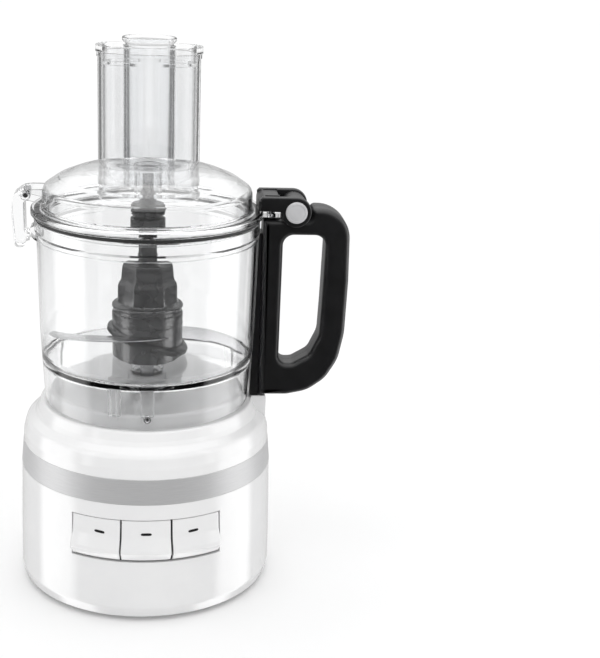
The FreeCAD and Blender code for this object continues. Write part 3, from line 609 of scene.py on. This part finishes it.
def make_details():
    # rounded foot ring
    finish_piece("foot_ring_rubber", rings_mesh("f", lathe(outline([(66, 0, 1.2), (74, 0, 1.2), (74, 4.5, .4), (66, 4.5, .4)], 4), 144), closed=True), "base", "rubber", ["foot_ring"])
    # the moulded line under the bowl's rim
    finish_piece("bowl_rim_line", rings_mesh("b", lathe(ring_profile(79.5, 80.35, 262.6, 263.5), 160), closed=True), "bowl", "clear_plastic")
    # small round pin in the skirt, with a recess and a dark centre
    def on_front(prof):
        return rings_mesh("pin", [[(0.3 + r * math.cos(2 * math.pi * j / 48), y, 148.7 + r * math.sin(2 * math.pi * j / 48)) for j in range(48)] for r, y in prof], caps=False)
    finish_piece("skirt_pin", on_front([(0.0, -75.2), (1.15, -75.2), (1.45, -76.0), (1.9, -76.5), (2.45, -76.5), (2.75, -76.1), (2.8, -74.6), (0.0, -74.6)]), "bowl", "steel", sharp=50)
    finish_piece("skirt_pin_centre", on_front([(0.0, -76.0), (0.6, -75.95), (0.95, -75.6), (1.05, -75.0), (0.0, -75.0)]), "bowl", "black_plastic", sharp=50)
    # fine upright ribs that frame the pin's panel, and a second pair of upright ribs beside it
    ribs = []
    for az, z0, z1, h in ((-93.2, 146.0, 169.0, 0.5), (-86.6, 146.0, 169.0, 0.5), (-109.6, 146.5, 170.0, 0.45), (-106.2, 146.5, 170.0, 0.45)):
        rr = []
        for z, k in ((z0, 0.3), (z0 + 0.5, 1.0), ((z0 + z1) / 2, 1.0), (z1 - 0.5, 1.0), (z1, 0.3)):
            R = 75.2 + (z - 140.6) * (1.1 / 19.4)
            a = math.radians(az)
            ux, uy, tx, ty = math.cos(a), math.sin(a), -math.sin(a), math.cos(a)
            rr.append([(ux * (R + d * k) + tx * t, uy * (R + d * k) + ty * t, z) for t, d in ((-0.4, -0.3), (-0.32, h * 0.7), (0.0, h), (0.32, h * 0.7), (0.4, -0.3))])
        ribs.append(rings_mesh("rib", rr))
    finish_piece("skirt_panel_ribs", joined("ribs", ribs), "bowl", "clear_plastic", sharp=60)


make_details()


# ------------------------------------------------------------------ studio
def area(name, loc, target, size, power, shape="RECTANGLE"):
    l = bpy.data.lights.new(name, "AREA")
    l.shape = shape
    l.size, l.size_y = size
    l.energy = power
    o = bpy.data.objects.new(name, l)
    scene.collection.objects.link(o)
    d = Vector(target) - Vector(loc)
    o.matrix_world = Matrix.Translation(loc) @ d.to_track_quat("-Z", "Y").to_matrix().to_4x4()
    return o


def hub_lights():
    """Two slim strips that only the drive hub receives: its upright highlights, not blocked by the bowl."""
    only = bpy.data.collections.new("hub_light_receivers")
    for o in bpy.data.objects:
        if o.name.startswith("drive_hub_body"):
            only.objects.link(o)
    for name, s in (("strip_left", -1), ("strip_right", 1)):
        o = area(name, (0.385 * s, -0.115, 0.10), (0, 0, 0.20), (0.045, 0.34), 2.4)
        o.visible_camera = False
        o.visible_transmission = False
        o.light_linking.receiver_collection = only
        o.light_linking.blocker_collection = only


def studio():
    w = bpy.data.worlds.new("studio")
    scene.world = w
    w.use_nodes = True
    nt = w.node_tree
    bg = nt.nodes["Background"]
    bg.inputs["Strength"].default_value = 1.0

    def math_node(op, a, b=None):
        m = nt.nodes.new("ShaderNodeMath")
        m.operation = op
        for i, v in enumerate((a, b)):
            if v is None:
                continue
            if isinstance(v, (int, float)):
                m.inputs[i].default_value = v
            else:
                nt.links.new(v, m.inputs[i])
        return m.outputs[0]

    def grad(src, stops):
        """Piecewise linear value of a 0..1 source, from (position, value) stops."""
        r = nt.nodes.new("ShaderNodeValToRGB")
        e = r.color_ramp.elements
        while len(e) > 1:
            e.remove(e[0])
        e[0].position = stops[0][0]
        e[0].color = (stops[0][1],) * 3 + (1,)
        for q, v in stops[1:]:
            k = e.new(q)
            k.color = (v, v, v, 1)
        nt.links.new(src, r.inputs["Fac"])
        return r.outputs["Color"]

    def mix(fac, a, b):
        m = nt.nodes.new("ShaderNodeMix")
        m.data_type = "RGBA"
        nt.links.new(fac, m.inputs["Factor"])
        for i, v in ((6, a), (7, b)):
            if isinstance(v, (int, float)):
                m.inputs[i].default_value = (v, v, v, 1)
            else:
                nt.links.new(v, m.inputs[i])
        return m.outputs[2]

    tc = nt.nodes.new("ShaderNodeTexCoord")
    sep = nt.nodes.new("ShaderNodeSeparateXYZ")
    nt.links.new(tc.outputs["Generated"], sep.inputs["Vector"])
    X, Y, Z = (sep.outputs[i] for i in range(3))
    h = math_node("SQRT", math_node("ADD", math_node("MULTIPLY", X, X), math_node("MULTIPLY", Y, Y)))
    side = math_node("DIVIDE", math_node("ABSOLUTE", X), math_node("MAXIMUM", h, 1e-4))
    y01 = math_node("MULTIPLY_ADD", Y, 0.5)
    nt.nodes[-1].inputs[2].default_value = 0.5
    z01 = math_node("MULTIPLY_ADD", Z, 0.5)
    nt.nodes[-1].inputs[2].default_value = 0.5
    lp = nt.nodes.new("ShaderNodeLightPath")
    # what reflections see: tall softboxes at exactly the left and right, a dim front and a grey back, a soft top
    room = grad(y01, REFL_Y)
    boxes = grad(side, [(0.0, 0.0), (0.90, 0.0), (0.965, 1.0), (1.0, 1.0)])
    refl = mix(boxes, room, SOFTBOX)
    refl = mix(grad(z01, [(0.0, 0.0), (0.62, 0.0), (0.74, 1.0), (1.0, 1.0)]), refl, TOPBOX)
    # what is seen through clear plastic: bright behind and above, dark to the sides
    trans = grad(math_node("ABSOLUTE", Y), TRANS_Y)
    # a reflection on something inside the bowl sees a dim front, as the hub does in the photo
    mirrored = math_node("GREATER_THAN", lp.outputs["Glossy Depth"], 0.5)
    trans = mix(mirrored, trans, grad(y01, TRANS_Y1))
    trans = mix(grad(z01, [(0.0, 0.0), (0.70, 0.0), (0.90, 1.0), (1.0, 1.0)]), trans, 0.85)
    inside = math_node("GREATER_THAN", lp.outputs["Diffuse Depth"], 0.5)
    trans = mix(inside, trans, 0.62)
    c = mix(lp.outputs["Is Transmission Ray"], WORLD, trans)
    c = mix(lp.outputs["Is Glossy Ray"], c, refl)
    c = mix(lp.outputs["Is Camera Ray"], c, 1.0)
    nt.links.new(c, bg.inputs["Color"])
    me = bpy.data.meshes.new("floor")
    s = 9.0
    me.from_pydata([(-s, -s, 0), (s, -s, 0), (s, s, 0), (-s, s, 0)], [], [(0, 1, 2, 3)])
    fl = bpy.data.objects.new("floor", me)
    fl.location = (0, 0, -0.0002)
    scene.collection.objects.link(fl)
    fl.visible_glossy = False
    m, nt, p = new_mat("floor_paper")
    n1 = noise(nt, 3.0, 2.0)
    c = ramp(nt, n1.outputs["Fac"], (0.93, 0.93, 0.93), (0.95, 0.95, 0.95))
    nt.links.new(c.outputs["Color"], p.inputs["Base Color"])
    p.inputs["Roughness"].default_value = 0.8
    p.inputs["Specular IOR Level"].default_value = 0.1
    tc = nt.nodes.new("ShaderNodeTexCoord")
    sep = nt.nodes.new("ShaderNodeSeparateXYZ")
    nt.links.new(tc.outputs["Object"], sep.inputs["Vector"])
    ln = nt.nodes.new("ShaderNodeVectorMath")
    ln.operation = "LENGTH"
    nt.links.new(tc.outputs["Object"], ln.inputs[0])
    R = ln.outputs["Value"]
    far = nt.nodes.new("ShaderNodeMapRange")
    far.interpolation_type = "SMOOTHSTEP"
    far.inputs["From Min"].default_value = 0.45
    far.inputs["From Max"].default_value = 1.5
    nt.links.new(R, far.inputs["Value"])
    absx = nt.nodes.new("ShaderNodeMath")
    absx.operation = "ABSOLUTE"
    nt.links.new(sep.outputs["X"], absx.inputs[0])
    frac = nt.nodes.new("ShaderNodeMath")
    frac.operation = "DIVIDE"
    nt.links.new(absx.outputs[0], frac.inputs[0])
    nt.links.new(R, frac.inputs[1])
    flag = nt.nodes.new("ShaderNodeMapRange")
    flag.inputs["From Min"].default_value = 0.30
    flag.inputs["From Max"].default_value = 0.50
    flag.inputs["To Min"].default_value = 0.0
    flag.inputs["To Max"].default_value = 0.85
    nt.links.new(frac.outputs[0], flag.inputs["Value"])
    # the flags stand at the diagonals: straight through from a side is light again
    side = nt.nodes.new("ShaderNodeMapRange")
    side.inputs["From Min"].default_value = 0.90
    side.inputs["From Max"].default_value = 0.97
    side.inputs["To Min"].default_value = 1.0
    side.inputs["To Max"].default_value = 0.1
    nt.links.new(frac.outputs[0], side.inputs["Value"])
    both = nt.nodes.new("ShaderNodeMath")
    both.operation = "MULTIPLY"
    nt.links.new(flag.outputs["Result"], both.inputs[0])
    nt.links.new(side.outputs["Result"], both.inputs[1])
    lp = nt.nodes.new("ShaderNodeLightPath")
    amount = nt.nodes.new("ShaderNodeMath")
    amount.operation = "MULTIPLY"
    nt.links.new(both.outputs[0], amount.inputs[0])
    nt.links.new(lp.outputs["Is Transmission Ray"], amount.inputs[1])
    value = nt.nodes.new("ShaderNodeMath")
    value.operation = "SUBTRACT"
    value.inputs[0].default_value = 1.0
    nt.links.new(amount.outputs[0], value.inputs[1])
    em = nt.nodes.new("ShaderNodeEmission")
    nt.links.new(value.outputs[0], em.inputs["Strength"])
    mx = nt.nodes.new("ShaderNodeMixShader")
    nt.links.new(far.outputs["Result"], mx.inputs["Fac"])
    nt.links.new(p.outputs["BSDF"], mx.inputs[1])
    nt.links.new(em.outputs["Emission"], mx.inputs[2])
    nt.links.new(mx.outputs["Shader"], nt.nodes["Material Output"].inputs["Surface"])
    me.materials.append(m)
    fl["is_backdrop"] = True
    area("softbox_left", (-1.0, -0.75, 0.6), (0, 0, 0.2), (0.22, 1.3), 1.0)
    area("softbox_right", (1.05, -0.65, 0.6), (0, 0, 0.2), (0.18, 1.2), 0.8)
    area("softbox_top", (0.1, 0.1, 2.6), (0, 0, 0.2), (3.0, 3.0), 34)
    scene.cycles.max_bounces = 28
    scene.cycles.transmission_bounces = 28
    scene.cycles.glossy_bounces = 8
    scene.view_settings.view_transform = "Standard"
    scene.view_settings.exposure = EXPO


WORLD, SOFTBOX, TOPBOX, EXPO = 0.72, 2.6, 1.5, 0.03
REFL_Y = [(0.0, 0.05), (0.35, 0.07), (0.55, 0.28), (0.8, 0.55), (1.0, 0.6)]
TRANS_Y1 = [(0.0, 0.06), (0.55, 0.08), (0.72, 0.42), (0.85, 0.95), (1.0, 0.98)]
TRANS_Y = [(0.0, 0.85), (0.24, 0.75), (0.34, 0.08), (0.70, 0.06), (0.80, 0.42), (0.91, 0.95), (1.0, 0.98)]
studio()
hub_lights()

NEW_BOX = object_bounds()


def as_list(b):
    return [[float(v) for v in c] for c in b] if not hasattr(b, "keys") else {k: [float(x) for x in v] for k, v in b.items()}


{"cad": as_list(CAD_BOX), "visual": as_list(NEW_BOX)}
